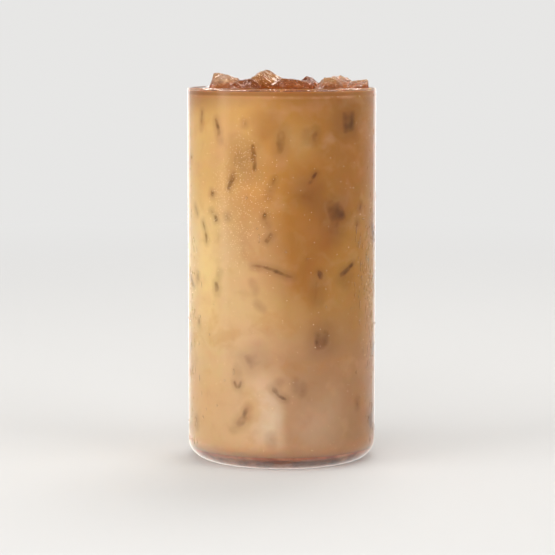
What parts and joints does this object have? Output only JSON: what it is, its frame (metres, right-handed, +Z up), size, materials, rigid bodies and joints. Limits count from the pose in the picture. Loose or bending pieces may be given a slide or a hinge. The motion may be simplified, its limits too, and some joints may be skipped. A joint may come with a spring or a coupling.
{
  "type": "iced cold brew coffee with milk in a glass",
  "caption": "Tall straight clear glass filled to just under the rim with milky iced cold brew coffee, with lumps of ice standing above the rim.",
  "frame": {"origin": "middle of the foot, on the surface that the glass stands on", "axes": "+Z up along the glass, -Y towards the side that is shown to the front"},
  "size_m": [0.075, 0.075, 0.1554],
  "materials": {
    "clear_glass": "clear polished glass, thin wall, fire-polished lip",
    "milky_coffee": "opaque milky coffee with pale swirls, wet surface",
    "ice": "wet ice tinted by coffee, half melted"
  },
  "bodies": {
    "root": {"glass": "clear_glass", "drink": "milky_coffee", "ice_01": "ice", "ice_02": "ice", "ice_03": "ice", "ice_04": "ice", "ice_05": "ice", "ice_06": "ice", "ice_07": "ice", "ice_08": "ice", "ice_09": "ice", "ice_10": "ice", "ice_11": "ice", "ice_12": "ice", "ice_13": "ice", "ice_14": "ice", "ice_15": "ice", "ice_16": "ice"}
  },
  "joints": []
}
